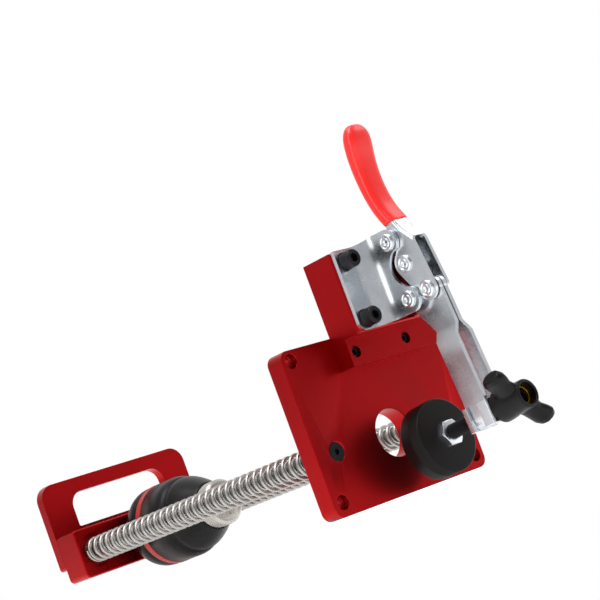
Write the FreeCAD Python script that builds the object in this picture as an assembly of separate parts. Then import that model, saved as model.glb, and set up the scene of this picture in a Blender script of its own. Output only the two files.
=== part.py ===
import FreeCAD, Part
import math
import os
from FreeCAD import Vector

# Clamp-on drilling jig. Millimetres, +Z up, +Y from the working face back to the carriage.
# The origin is the centre of the drill opening, on the base plate's working face.

# Base plate: its working face is y = 0
BASE_HALF_WIDTH = 58.7
BASE_THICK = 11.0
BASE_TOP = 56.3
BASE_BOTTOM = -32.5
BASE_CORNER = 5.5
DRILL_OPENING_R = 13.0
CORNER_HOLE_X = 51.9
CORNER_HOLE_Z = (50.5, -25.0)
CORNER_HOLE_R = 2.8
CORNER_SINK_R = 3.8
CORNER_SINK_DEPTH = 4.0
COLUMN_SOCKET_Y = 4.0
FOOT_HEAD_R = 5.0
FOOT_HEAD_DEPTH = 2.8
STOP_SCREW_END = 9.5

# Guide columns and return springs
COLUMN_X = 43.5
COLUMN_R = 5.0
COLUMN_SCREW_R = 2.0
COLUMN_SCREW_HOLE_R = 2.5
COLUMN_SCREW_LENGTH = 12.0
SCREW_KEY = 3.0
SPRING_OUTER_R = 7.7
SPRING_INNER_R = 5.6
SPRING_SEAT_R = 10.0
SPRING_SEAT_DEPTH = 1.5

# Carriage bar and its D-shaped handle plate
CARRIAGE_FRONT = 221.0
CARRIAGE_BACK = 239.3
CARRIAGE_HALF_WIDTH = 56.0
CARRIAGE_HALF_HEIGHT = 14.5
HANDLE_BACK = 245.3
HANDLE_TOP = 46.0
HANDLE_BOTTOM = -5.7
HANDLE_CORNER = 9.5
SLOT_HALF_WIDTH = 36.0
SLOT_BOTTOM = 17.0
SLOT_TOP = 37.2
BUSH_R = 7.0
END_WASHER_R = 8.0
END_WASHER_THICK = 2.0
END_WASHER_GAP = 0.3
PLATE_SCREW_X = 24.0
PLATE_SCREW_R = 2.0
PLATE_SCREW_HEAD_R = 4.0
PLATE_SCREW_HEAD = 4.0
SHANK_CLEAR_R = 7.0

# Keyless chuck on the drill axis
SHANK_R = 5.0
BEARING_R = 9.5
BEARING_THICK = 5.0
SHANK_HEX = 9.5
SHANK_END = 272.0
CHUCK_BACK = 217.5
CHUCK_RING_BACK = 203.8
CHUCK_RING_FRONT = 199.5
CHUCK_FRONT = 158.0
CHUCK_NOSE = 148.0
CHUCK_R = 24.1
CORE_R = 17.0
CORE_FRONT_R = 15.6
NOSE_R = 13.4
JAW_R = 2.8
JAW_ANGLE = 12.0
JAW_FRONT = 150.5
JAW_LENGTH = 37.0
JAW_TIP_OFFSET = 5.6
CHUCK_BORE_R = 6.8
NUT_FRONT = 178.3
NUT_BACK = 187.7
NUT_R = 19.4
NUT_BORE_R = 16.7

# Clamp bracket: an edge stop bar with a block that carries the toggle clamp
BRACKET_LEFT = -21.0
STOP_RIGHT = 48.0
STOP_DEPTH = 10.3
STOP_TOP = 54.8
STOP_BOTTOM = 37.8
BLOCK_RIGHT = 39.0
BLOCK_DEPTH = 21.0
BLOCK_BOTTOM = 52.3
BLOCK_TOP = 95.9
STOP_SCREW_X = (-16.0, 22.3)
STOP_SCREW_Z = 45.0
STOP_SCREW_R = 2.0
STOP_SCREW_SEAT = -4.6
STOP_SCREW_HEAD_R = 2.9
STOP_SCREW_HEAD = 4.0
SMALL_HOLE = (43.4, 47.6)
SMALL_HOLE_R = 0.9

# Toggle clamp: mid plane, sheet layers as distances from it, and pivots in the YZ plane
CLAMP_X = 9.0
SHEET = 2.3
CHEEK_IN = 5.9
CHEEK_OUT = CHEEK_IN + SHEET
WALL_IN = 3.6
WALL_OUT = 5.6
BAR_THICK = 2.5
BAR_UPPER_IN = 0.4
BAR_LOWER_IN = 4.2
LINK_HALF = 2.0
PIVOT_BASE_LINK = (-41.2, 91.1)
PIVOT_LINK_HANDLE = (-45.6, 77.6)
PIVOT_HANDLE_ARM = (-53.8, 61.0)
PIVOT_BASE_ARM = (-41.5, 60.0)
PIN_R = 3.0
PIN_HOLE_R = 3.06
HEAD_R = 4.5
HEAD_THICK = 1.3
FLANGE_BOTTOM = 52.8
FLANGE_TOP = 96.2
FLANGE_EDGE = -20.0
FLANGE_BEND_R = 10.4
FLANGE_SCREW_X = 23.7
FLANGE_SCREW_Z = (58.5, 89.5)
FLANGE_SCREW_R = 2.5
FLANGE_SCREW_END = -6.0
CAP_HEAD_R = 4.7
CAP_HEAD = 7.0
FLANGE_WASHER_R = 5.1
FLANGE_WASHER_THICK = 1.0
CHEEK_LOW_R = 7.2
CHEEK_HIGH_R = 6.7
CHEEK_WAIST = (-37.0, 76.0)
CHEEK_TOP = 97.8
SLEEVE_R = 4.2

# Holding arm: a flat strap folded into a long U, leaning by ARM_TILT about X
ARM_TILT = -4.35
ARM_END = (-57.9, -8.4)
STRAP_HALF = 7.25
JOG_LOW = 42.5
JOG_HIGH = 48.5
STRAP_TOP = 66.0
ARM_EYE_R = 6.2
ARM_HEEL_R = 6.5

# Handle
HANDLE_EYE_R = 5.8
HANDLE_LOBE_R = 7.0
HANDLE_TOP_LOBE_R = 5.2
WEB_EDGE = (-62, -50)
WEB_BEND_R = 1.8
WEB_EDGE_Y = -48.0
WEB_EDGE_Z = 88.0
WEB_SLOT_LOW = 50.0
WEB_SLOT_HIGH = 88.6
WEB_SLOT_R = 2.2
TONGUE_HALF_WIDTH = 4.6
GRIP_HALF_WIDTH = 7.3
GRIP_END_HALF_WIDTH = 8.3

# Spindle, pad and wing knob, in the arm's leaning frame measured from ARM_END
SPINDLE_R = 4.0
PAD_R = 20.0
PAD_FACE = 31.8
PAD_THICK = 14.5
PAD_NUT_THICK = 4.6
NUT_FLATS = 13.0
SADDLE_HALF_LENGTH = 6.5
SADDLE_HALF_WIDTH = 8.7
SADDLE_FRONT_LIP = 5.0
SADDLE_REAR_LIP = 2.0
SADDLE_THICK = 2.0
KNOB_BACK = -9.5
KNOB_FRONT = -29.2
KNOB_HUB_R = 7.6
KNOB_TIP = 19.0
KNOB_TIP_R = 4.4
KNOB_BORE_R = 5.6
KNOB_SKIRT_R = 8.6
WING_HALF_THICK = 3.6

AXIS_X = Vector(1, 0, 0)
AXIS_Y = Vector(0, 1, 0)


# ---------------------------------------------------------------- helpers
def box(x, y, z):
    """A block between two x, two y and two z values."""
    return Part.makeBox(x[1] - x[0], y[1] - y[0], z[1] - z[0], Vector(x[0], y[0], z[0]))


def rod_y(x, z, radius, y0, y1):
    return Part.makeCylinder(radius, y1 - y0, Vector(x, y0, z), AXIS_Y)


def rod_x(pivot, radius, x0, x1):
    """A cylinder along X at a (y, z) pivot."""
    return Part.makeCylinder(radius, x1 - x0, Vector(x0, pivot[0], pivot[1]), AXIS_X)


def tube_y(x, z, outer, inner, y0, y1):
    return rod_y(x, z, outer, y0, y1).cut(rod_y(x, z, inner, y0 - 1, y1 + 1))


def outline(steps, place):
    """A closed wire: each step is one end point, or a (mid point, end point) pair for an arc."""
    start = steps[-1] if not isinstance(steps[-1][0], tuple) else steps[-1][1]
    edges = []
    for step in steps:
        end = step[1] if isinstance(step[0], tuple) else step
        if isinstance(step[0], tuple):
            edges.append(Part.Arc(place(start), place(step[0]), place(end)).toShape())
        else:
            edges.append(Part.LineSegment(place(start), place(end)).toShape())
        start = end
    return Part.Wire(edges)


def slab_x(steps, x0, x1):
    """A profile in the YZ plane, extruded from x0 to x1."""
    wire = outline(steps, lambda p: Vector(x0, p[0], p[1]))
    return Part.Face(wire).extrude(Vector(x1 - x0, 0, 0))


def slab_y(steps, y0, y1):
    """A profile in the XZ plane, extruded from y0 to y1."""
    wire = outline(steps, lambda p: Vector(p[0], y0, p[1]))
    return Part.Face(wire).extrude(Vector(0, y1 - y0, 0))


def slab_z(steps, z0, z1):
    """A profile in the XY plane, extruded from z0 to z1."""
    wire = outline(steps, lambda p: Vector(p[0], p[1], z0))
    return Part.Face(wire).extrude(Vector(0, 0, z1 - z0))


def turned_y(profile):
    """A solid turned about the drill axis from (y, radius) points."""
    points = [Vector(radius, y, 0) for y, radius in profile]
    wire = Part.makePolygon(points + [points[0]])
    return Part.Face(wire).revolve(Vector(0, 0, 0), AXIS_Y, 360)


def rounded_plate(x, z, y, top_r, bottom_r):
    """A plate in XZ with its upper and lower corners rounded."""
    cut_top = top_r * (1 - math.sqrt(0.5))
    cut_low = bottom_r * (1 - math.sqrt(0.5))
    steps = [(x[1] - bottom_r, z[0]),
             ((x[1] - cut_low, z[0] + cut_low), (x[1], z[0] + bottom_r)),
             (x[1], z[1] - top_r),
             ((x[1] - cut_top, z[1] - cut_top), (x[1] - top_r, z[1])),
             (x[0] + top_r, z[1]),
             ((x[0] + cut_top, z[1] - cut_top), (x[0], z[1] - top_r)),
             (x[0], z[0] + bottom_r),
             ((x[0] + cut_low, z[0] + cut_low), (x[0] + bottom_r, z[0]))]
    return slab_y(steps, y[0], y[1])


def hexagon_y(x, z, flats, y0, y1):
    corners = [(x + flats / math.sqrt(3) * math.cos(math.radians(60 * i)),
                z + flats / math.sqrt(3) * math.sin(math.radians(60 * i))) for i in range(6)]
    return slab_y(corners, y0, y1)


def mirrored(shape):
    """The same piece on the other side of the toggle clamp's mid plane."""
    return shape.mirror(Vector(CLAMP_X, 0, 0), AXIS_X)


def both_sides(shape):
    return Part.makeCompound([shape, mirrored(shape)])


def on_circle(centre, radius, degrees):
    angle = math.radians(degrees)
    return (centre[0] + radius * math.cos(angle), centre[1] + radius * math.sin(angle))


def band_x(first, first_r, second, second_r, x0, x1):
    """Two eyes in the YZ plane with the straight band that joins them."""
    run = math.atan2(second[1] - first[1], second[0] - first[0])
    gap = math.hypot(second[0] - first[0], second[1] - first[1])
    lean = math.acos((first_r - second_r) / gap)
    upper = math.degrees(run + lean)
    lower = math.degrees(run - lean)
    steps = [on_circle(first, first_r, lower), on_circle(second, second_r, lower),
             on_circle(second, second_r, upper), on_circle(first, first_r, upper)]
    return slab_x(steps, x0, x1).fuse([rod_x(first, first_r, x0, x1),
                                       rod_x(second, second_r, x0, x1)]).removeSplitter()


def leaning(shape):
    """From the arm's own frame (strap along Z, spindle along Y) to its place on the jig."""
    turned = shape.copy()
    turned.rotate(Vector(0, 0, 0), AXIS_X, ARM_TILT)
    turned.translate(Vector(CLAMP_X, ARM_END[0], ARM_END[1]))
    return turned


def in_arm_frame(pivot):
    """A (y, z) pivot of the jig, as the arm's own frame sees it."""
    angle = math.radians(-ARM_TILT)
    y = pivot[0] - ARM_END[0]
    z = pivot[1] - ARM_END[1]
    return (math.cos(angle) * y - math.sin(angle) * z, math.sin(angle) * y + math.cos(angle) * z)


def cap_screw(x, z, seat, head_r, head_length, shank_r, end):
    """A socket-head cap screw along Y: the head stands forward of seat, the shank runs to end."""
    head = rod_y(x, z, head_r, seat - head_length, seat)
    head = head.makeChamfer(0.4, [e for e in head.Edges if abs(e.BoundBox.YMax - seat + head_length) < 0.01
                                  and e.Length > 1.5 * math.pi * head_r])
    socket = hexagon_y(x, z, head_r * 0.95, seat - head_length - 1, seat - head_length * 0.4)
    return head.cut(socket).fuse(rod_y(x, z, shank_r, seat, end)).removeSplitter()


# ---------------------------------------------------------------- base and columns
def base_plate():
    plate = rounded_plate((-BASE_HALF_WIDTH, BASE_HALF_WIDTH), (BASE_BOTTOM, BASE_TOP),
                          (0, BASE_THICK), BASE_CORNER, BASE_CORNER)
    plate = plate.cut(rod_y(0, 0, DRILL_OPENING_R, -1, BASE_THICK + 1))
    for side in (-1, 1):
        for z in CORNER_HOLE_Z:
            x = side * CORNER_HOLE_X
            plate = plate.cut(rod_y(x, z, CORNER_HOLE_R, -1, BASE_THICK + 1))
            plate = plate.cut(rod_y(x, z, CORNER_SINK_R, -1, CORNER_SINK_DEPTH))
        x = side * COLUMN_X
        plate = plate.cut(rod_y(x, 0, COLUMN_R, COLUMN_SOCKET_Y, BASE_THICK + 1))
        plate = plate.cut(rod_y(x, 0, COLUMN_SCREW_HOLE_R, -1, COLUMN_SOCKET_Y + 1))
        sink = Part.makeCone(FOOT_HEAD_R + 0.5, COLUMN_SCREW_HOLE_R, FOOT_HEAD_DEPTH + 0.2,
                             Vector(x, 0, 0), AXIS_Y)
        plate = plate.cut(sink)
    for x in STOP_SCREW_X:
        plate = plate.cut(rod_y(x, STOP_SCREW_Z, STOP_SCREW_R, -1, STOP_SCREW_END))
    return plate


def guide_column(side):
    x = side * COLUMN_X
    end = HANDLE_BACK + END_WASHER_GAP
    column = rod_y(x, 0, COLUMN_R, COLUMN_SOCKET_Y, end)
    column = column.cut(rod_y(x, 0, COLUMN_SCREW_R, 0, COLUMN_SOCKET_Y + COLUMN_SCREW_LENGTH))
    return column.cut(rod_y(x, 0, COLUMN_SCREW_R, end - COLUMN_SCREW_LENGTH, end + 1))


def column_foot_screws():
    screws = []
    for side in (-1, 1):
        x = side * COLUMN_X
        head = Part.makeCone(FOOT_HEAD_R, COLUMN_SCREW_R + 0.4, FOOT_HEAD_DEPTH, Vector(x, 0.2, 0), AXIS_Y)
        shank = rod_y(x, 0, COLUMN_SCREW_R, FOOT_HEAD_DEPTH + 0.2, COLUMN_SOCKET_Y + COLUMN_SCREW_LENGTH - 1)
        screw = head.fuse(shank).cut(hexagon_y(x, 0, SCREW_KEY, -1, 2.2))
        screws.append(screw.removeSplitter())
    return Part.makeCompound(screws)


def end_washers():
    y0 = HANDLE_BACK + END_WASHER_GAP
    return Part.makeCompound([tube_y(s * COLUMN_X, 0, END_WASHER_R, 2.2, y0, y0 + END_WASHER_THICK)
                              for s in (-1, 1)])


def end_screws():
    seat = HANDLE_BACK + END_WASHER_GAP + END_WASHER_THICK
    screws = []
    for side in (-1, 1):
        x = side * COLUMN_X
        head = Part.makeCone(4.4, 3.2, 2.4, Vector(x, seat, 0), AXIS_Y)
        shank = rod_y(x, 0, COLUMN_SCREW_R, seat - COLUMN_SCREW_LENGTH, seat)
        screw = head.fuse(shank).cut(hexagon_y(x, 0, SCREW_KEY, seat + 1, seat + 3))
        screws.append(screw.removeSplitter())
    return Part.makeCompound(screws)


def return_spring(side):
    back = CARRIAGE_FRONT + SPRING_SEAT_DEPTH - 0.3
    return tube_y(side * COLUMN_X, 0, SPRING_OUTER_R, SPRING_INNER_R, BASE_THICK, back)


# ---------------------------------------------------------------- carriage
def carriage_bar():
    h = CARRIAGE_HALF_HEIGHT
    w = CARRIAGE_HALF_WIDTH
    bar = rounded_plate((-w, w), (-h, h), (CARRIAGE_FRONT, CARRIAGE_BACK), 2.0, 3.0)
    front_rim = [e for e in bar.Edges if abs(e.BoundBox.YMin - CARRIAGE_FRONT) < 0.01
                 and abs(e.BoundBox.YMax - CARRIAGE_FRONT) < 0.01]
    bar = bar.makeChamfer(0.6, front_rim)
    for side in (-1, 1):
        x = side * COLUMN_X
        bar = bar.cut(rod_y(x, 0, BUSH_R, CARRIAGE_FRONT - 1, CARRIAGE_BACK + 1))
        bar = bar.cut(rod_y(x, 0, SPRING_SEAT_R, CARRIAGE_FRONT - 1, CARRIAGE_FRONT + SPRING_SEAT_DEPTH))
        bar = bar.cut(rod_y(side * PLATE_SCREW_X, 0, PLATE_SCREW_R, CARRIAGE_BACK - 12, CARRIAGE_BACK + 1))
    bar = bar.cut(rod_y(0, 0, SHANK_CLEAR_R, CARRIAGE_FRONT - 1, CARRIAGE_BACK + 1))
    for y0 in bearing_seats():
        bar = bar.cut(rod_y(0, 0, BEARING_R, y0, y0 + BEARING_THICK))
    bar = bar.cut(rod_y(0, 0, BEARING_R, CARRIAGE_FRONT - 1, CARRIAGE_FRONT + 2))
    return bar.cut(rod_y(0, 0, BEARING_R, CARRIAGE_BACK - 2, CARRIAGE_BACK + 1))


def bearing_seats():
    return (CARRIAGE_FRONT + 1.5, CARRIAGE_BACK - 1.0 - BEARING_THICK)


def handle_plate():
    w = CARRIAGE_HALF_WIDTH
    plate = rounded_plate((-w, w), (HANDLE_BOTTOM, HANDLE_TOP), (CARRIAGE_BACK, HANDLE_BACK),
                          HANDLE_CORNER, 2.0)
    slot = rounded_plate((-SLOT_HALF_WIDTH, SLOT_HALF_WIDTH), (SLOT_BOTTOM, SLOT_TOP),
                         (CARRIAGE_BACK - 1, HANDLE_BACK + 1), 8.5, 1.0)
    plate = plate.cut(slot)
    plate = plate.cut(rod_y(0, 0, SHANK_CLEAR_R, CARRIAGE_BACK - 1, HANDLE_BACK + 1))
    plate = plate.cut(box((-SHANK_CLEAR_R, SHANK_CLEAR_R), (CARRIAGE_BACK - 1, HANDLE_BACK + 1), (-10, 0)))
    for side in (-1, 1):
        x = side * PLATE_SCREW_X
        plate = plate.cut(rod_y(side * COLUMN_X, 0, COLUMN_R + 0.4, CARRIAGE_BACK - 1, HANDLE_BACK + 1))
        plate = plate.cut(rod_y(x, 0, PLATE_SCREW_R + 0.2, CARRIAGE_BACK - 1, HANDLE_BACK + 1))
        seat = HANDLE_BACK - PLATE_SCREW_HEAD
        plate = plate.cut(rod_y(x, 0, PLATE_SCREW_HEAD_R + 0.2, seat, HANDLE_BACK + 1))
    return plate


def handle_plate_screws():
    screws = []
    for side in (-1, 1):
        screw = cap_screw(side * PLATE_SCREW_X, 0, 0, PLATE_SCREW_HEAD_R, PLATE_SCREW_HEAD,
                          PLATE_SCREW_R, COLUMN_SCREW_LENGTH)
        screw = screw.mirror(Vector(0, 0, 0), AXIS_Y)
        screw.translate(Vector(0, HANDLE_BACK - PLATE_SCREW_HEAD, 0))
        screws.append(screw)
    return Part.makeCompound(screws)


def column_bush(side):
    return tube_y(side * COLUMN_X, 0, BUSH_R, COLUMN_R + 0.05, CARRIAGE_FRONT + SPRING_SEAT_DEPTH + 0.2,
                  CARRIAGE_BACK)


def spindle_bearing(y0):
    rings = [tube_y(0, 0, BEARING_R, 8.2, y0, y0 + BEARING_THICK),
             tube_y(0, 0, 6.3, SHANK_R + 0.03, y0, y0 + BEARING_THICK),
             tube_y(0, 0, 8.2, 6.3, y0 + 0.6, y0 + BEARING_THICK - 0.6)]
    return rings[0].fuse(rings[1:]).removeSplitter()


# ---------------------------------------------------------------- chuck
def drive_shank():
    shank = rod_y(0, 0, SHANK_R, CHUCK_BACK - 14, HANDLE_BACK + 2)
    shank = shank.fuse(rod_y(0, 0, 6.2, CHUCK_BACK, bearing_seats()[0] - 0.2))
    hexagon = hexagon_y(0, 0, SHANK_HEX, HANDLE_BACK + 2, SHANK_END)
    return shank.fuse(hexagon).removeSplitter()


def retaining_ring():
    y0 = bearing_seats()[1] + BEARING_THICK + 0.3
    return tube_y(0, 0, 6.9, SHANK_R, y0, y0 + 0.9)


def chuck_core():
    core = turned_y([(CHUCK_BACK, 0), (CHUCK_BACK, 15.5), (CHUCK_BACK - 1, CORE_R), (192, CORE_R),
                     (192, CORE_FRONT_R), (163, CORE_FRONT_R), (160.5, NOSE_R), (CHUCK_NOSE + 1.5, NOSE_R),
                     (CHUCK_NOSE, NOSE_R - 1.5), (CHUCK_NOSE, 0)])
    core = core.cut(rod_y(0, 0, CHUCK_BORE_R, CHUCK_NOSE - 1, 176))
    core = core.cut(rod_y(0, 0, SHANK_R, CHUCK_BACK - 14, CHUCK_BACK + 1))
    for index in range(3):
        core = core.cut(jaw_rod(index, JAW_R + 0.08, -8.0, JAW_LENGTH + 4.0))
    return core


def jaw_rod(index, radius, start, end):
    """A rod on a jaw's leaning axis, measured back from the jaw's tip."""
    lean = math.radians(JAW_ANGLE)
    direction = Vector(math.sin(lean), math.cos(lean), 0)
    tip = Vector(JAW_TIP_OFFSET, JAW_FRONT, 0)
    rod = Part.makeCylinder(radius, end - start, tip + direction * start, direction)
    rod.rotate(Vector(0, 0, 0), AXIS_Y, 120 * index + 90)
    return rod


def chuck_jaw(index):
    """One jaw: a rod whose front is ground to a gripping edge that faces the axis."""
    jaw = jaw_rod(index, JAW_R, 0, JAW_LENGTH)
    flat = Part.makeBox(6, 26, 12, Vector(-6 + 3.4, JAW_FRONT - 2, -6))
    flat.rotate(Vector(0, 0, 0), AXIS_Y, 120 * index + 90)
    return jaw.cut(flat)


def chuck_rear_sleeve():
    return turned_y([(CHUCK_BACK - 0.5, CORE_R + 0.05), (CHUCK_BACK - 0.5, 20.6), (CHUCK_BACK - 2.5, 22.6),
                     (CHUCK_BACK - 6.5, CHUCK_R - 0.3), (CHUCK_RING_BACK, CHUCK_R),
                     (CHUCK_RING_BACK, CORE_R + 0.05)])


def chuck_ring():
    return turned_y([(CHUCK_RING_BACK, CORE_R + 0.05), (CHUCK_RING_BACK, CHUCK_R + 0.15),
                     (CHUCK_RING_FRONT, CHUCK_R + 0.15), (CHUCK_RING_FRONT, CORE_R + 0.05)])


def chuck_front_sleeve():
    back = CHUCK_RING_FRONT - 0.3
    return turned_y([(back, CORE_R + 0.3), (back, CHUCK_R), (183.5, CHUCK_R), (180.5, 23.4), (177.5, 22.4),
                     (175.5, 22.6), (172.5, 21.6), (168, 19.2), (163.5, 16.8), (CHUCK_FRONT + 1, 14.9),
                     (CHUCK_FRONT, 14.4), (CHUCK_FRONT, NOSE_R + 0.3), (160.0, NOSE_R + 0.3),
                     (162.0, CORE_FRONT_R + 0.3), (NUT_FRONT, CORE_FRONT_R + 0.3), (NUT_FRONT, NUT_R),
                     (NUT_BACK + 0.3, NUT_R), (NUT_BACK + 0.3, CORE_R + 0.3)])


def chuck_nut():
    return tube_y(0, 0, NUT_R, NUT_BORE_R, NUT_FRONT, NUT_BACK)


# ---------------------------------------------------------------- clamp bracket
def clamp_bracket():
    stop = slab_y([(BRACKET_LEFT, STOP_BOTTOM), (STOP_RIGHT - 3.5, STOP_BOTTOM),
                   ((STOP_RIGHT - 1.0, STOP_BOTTOM + 1.0), (STOP_RIGHT, STOP_BOTTOM + 3.5)),
                   (STOP_RIGHT, 46.5), ((STOP_RIGHT - 0.7, 48.9), (STOP_RIGHT - 2.2, 50.6)),
                   (39.5, STOP_TOP), (BRACKET_LEFT, STOP_TOP)], -STOP_DEPTH, 0)
    block = box((BRACKET_LEFT, BLOCK_RIGHT), (-BLOCK_DEPTH, 0), (BLOCK_BOTTOM, BLOCK_TOP))
    face_rim = [e for e in block.Edges if abs(e.BoundBox.YMax + BLOCK_DEPTH) < 0.01]
    block = block.makeChamfer(0.8, face_rim)
    bracket = stop.fuse(block).removeSplitter()
    for x in STOP_SCREW_X:
        bracket = bracket.cut(rod_y(x, STOP_SCREW_Z, STOP_SCREW_R + 0.2, -STOP_DEPTH - 1, 1))
        head_r = STOP_SCREW_HEAD_R + 0.2
        bracket = bracket.cut(rod_y(x, STOP_SCREW_Z, head_r, -STOP_DEPTH - 1, STOP_SCREW_SEAT))
    bracket = bracket.cut(rod_y(SMALL_HOLE[0], SMALL_HOLE[1], SMALL_HOLE_R, -STOP_DEPTH - 1, -4))
    for side in (-1, 1):
        x = CLAMP_X + side * FLANGE_SCREW_X
        for z in FLANGE_SCREW_Z:
            bracket = bracket.cut(rod_y(x, z, FLANGE_SCREW_R, -BLOCK_DEPTH - 1, FLANGE_SCREW_END))
    return bracket


def stop_screws():
    return Part.makeCompound([cap_screw(x, STOP_SCREW_Z, STOP_SCREW_SEAT, STOP_SCREW_HEAD_R,
                                        STOP_SCREW_HEAD, STOP_SCREW_R, STOP_SCREW_END)
                              for x in STOP_SCREW_X])


# ---------------------------------------------------------------- toggle clamp, fixed part
def clamp_side():
    """The left half of the clamp base: a screwed flange bent forward into a cheek."""
    outer = CLAMP_X - CHEEK_OUT
    front = -BLOCK_DEPTH - SHEET
    bend = outer - FLANGE_BEND_R
    corner = math.sqrt(0.5)
    sheet = slab_z([(FLANGE_EDGE, -BLOCK_DEPTH), (bend, -BLOCK_DEPTH),
                    ((bend + (FLANGE_BEND_R + SHEET) * corner,
                      front - FLANGE_BEND_R + (FLANGE_BEND_R + SHEET) * corner),
                     (outer + SHEET, front - FLANGE_BEND_R)),
                    (outer + SHEET, -52), (outer, -52), (outer, front - FLANGE_BEND_R),
                    ((bend + FLANGE_BEND_R * corner, front - FLANGE_BEND_R + FLANGE_BEND_R * corner),
                     (bend, front)), (FLANGE_EDGE, front)], FLANGE_BOTTOM - 2, 100)
    low = PIVOT_BASE_ARM
    high = PIVOT_BASE_LINK
    profile = slab_x([(-20, FLANGE_BOTTOM), on_circle(low, CHEEK_LOW_R, -90),
                      (on_circle(low, CHEEK_LOW_R, 200), on_circle(low, CHEEK_LOW_R, 130)),
                      (CHEEK_WAIST, on_circle(high, CHEEK_HIGH_R, 225)),
                      (on_circle(high, CHEEK_HIGH_R, 160), on_circle(high, CHEEK_HIGH_R, 90)),
                      (-31.0, CHEEK_TOP), (-23.0, FLANGE_TOP), (-20, FLANGE_TOP)], FLANGE_EDGE - 1, CLAMP_X)
    corners = rounded_plate((FLANGE_EDGE, CLAMP_X + 10), (FLANGE_BOTTOM, 100), (-60, 0), 3.0, 4.0)
    side = sheet.common(profile).common(corners)
    side = side.cut(rod_x(low, PIN_HOLE_R, -10, CLAMP_X)).cut(rod_x(high, PIN_HOLE_R, -10, CLAMP_X))
    for z in FLANGE_SCREW_Z:
        side = side.cut(rod_y(CLAMP_X - FLANGE_SCREW_X, z, FLANGE_SCREW_R + 0.25, -30, -15))
    return side


def flange_screws():
    seat = -BLOCK_DEPTH - SHEET - FLANGE_WASHER_THICK
    return Part.makeCompound([cap_screw(CLAMP_X + s * FLANGE_SCREW_X, z, seat, CAP_HEAD_R, CAP_HEAD,
                                        FLANGE_SCREW_R, FLANGE_SCREW_END)
                              for s in (-1, 1) for z in FLANGE_SCREW_Z])


def flange_washers():
    front = -BLOCK_DEPTH - SHEET
    return Part.makeCompound([tube_y(CLAMP_X + s * FLANGE_SCREW_X, z, FLANGE_WASHER_R,
                                     FLANGE_SCREW_R + 0.1, front - FLANGE_WASHER_THICK, front)
                              for s in (-1, 1) for z in FLANGE_SCREW_Z])


def rivet_head(pivot, face):
    """A formed head on the clamp's left side, with a rolled rim and a centre dimple."""
    head = rod_x(pivot, HEAD_R, face - HEAD_THICK, face)
    head = head.makeFillet(0.6, [e for e in head.Edges if abs(e.BoundBox.XMax - face + HEAD_THICK) < 0.01
                                 and e.Length > 20])
    groove = rod_x(pivot, 3.1, face - HEAD_THICK - 1, face - HEAD_THICK + 0.35)
    groove = groove.cut(rod_x(pivot, 2.3, face - 5, face))
    dimple = rod_x(pivot, 1.1, face - HEAD_THICK - 1, face - HEAD_THICK + 0.5)
    return head.cut(groove).cut(dimple)


def rivet(pivot, half_width):
    """A rivet right through, with a head at each side."""
    left = rivet_head(pivot, CLAMP_X - half_width)
    shank = rod_x(pivot, PIN_R, CLAMP_X - half_width, CLAMP_X + half_width)
    return shank.fuse([left, mirrored(left)]).removeSplitter()


def split_rivet(pivot):
    """Two short rivets, one in each handle wall, that leave the middle free."""
    left = rivet_head(pivot, CLAMP_X - WALL_OUT)
    left = left.fuse(rod_x(pivot, PIN_R, CLAMP_X - WALL_OUT, CLAMP_X - WALL_IN + 0.1)).removeSplitter()
    return both_sides(left)


def pivot_sleeves(pivot, inner):
    left = rod_x(pivot, SLEEVE_R, CLAMP_X - CHEEK_IN, CLAMP_X - inner)
    left = left.cut(rod_x(pivot, PIN_R + 0.03, 0, CLAMP_X))
    return both_sides(left)


# ---------------------------------------------------------------- toggle clamp, moving parts
def clamp_link():
    link = band_x(PIVOT_BASE_LINK, 5.4, PIVOT_LINK_HANDLE, 4.4, CLAMP_X - LINK_HALF, CLAMP_X + LINK_HALF)
    return link.cut(rod_x(PIVOT_BASE_LINK, PIN_HOLE_R, 0, 20))


def strap_half():
    """One leg of the folded strap with half of its round end, in the arm's frame."""
    t = BAR_THICK
    corner = math.sqrt(0.5)
    low_in = BAR_LOWER_IN
    low_out = BAR_LOWER_IN + t
    leg = [(-low_out, 0), ((-low_out * corner, -low_out * corner), (0, -low_out)), (0, -low_in),
           ((-low_in * corner, -low_in * corner), (-low_in, 0)), (-low_in, JOG_LOW),
           (-BAR_UPPER_IN, JOG_HIGH), (-BAR_UPPER_IN, STRAP_TOP - 10),
           (-BAR_UPPER_IN - t, STRAP_TOP - 10), (-BAR_UPPER_IN - t, JOG_HIGH), (-low_out, JOG_LOW)]
    return slab_y(leg, -STRAP_HALF, STRAP_HALF)


def arm_head():
    """The left upper plate of the arm, with the handle eye and the base eye."""
    x0 = -BAR_UPPER_IN - BAR_THICK
    x1 = -BAR_UPPER_IN
    eye = in_arm_frame(PIVOT_HANDLE_ARM)
    heel = in_arm_frame(PIVOT_BASE_ARM)
    plate = slab_x([(-STRAP_HALF, STRAP_TOP - 10.5), (STRAP_HALF, STRAP_TOP - 18),
                    on_circle(heel, ARM_HEEL_R, -30), on_circle(heel, ARM_HEEL_R, 100),
                    (eye[0], eye[1]), (-STRAP_HALF, eye[1] - 2)], x0, x1)
    plate = plate.fuse(band_x(eye, ARM_EYE_R, heel, ARM_HEEL_R, x0, x1))
    return plate.removeSplitter()


def clamp_arm():
    eye = in_arm_frame(PIVOT_HANDLE_ARM)
    heel = in_arm_frame(PIVOT_BASE_ARM)
    half = strap_half().fuse(arm_head())
    half = half.cut(rod_x(eye, PIN_HOLE_R, -10, 10)).cut(rod_x(heel, PIN_HOLE_R, -10, 10))
    other = half.mirror(Vector(0, 0, 0), AXIS_X)
    return leaning(half.fuse(other).removeSplitter())


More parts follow.
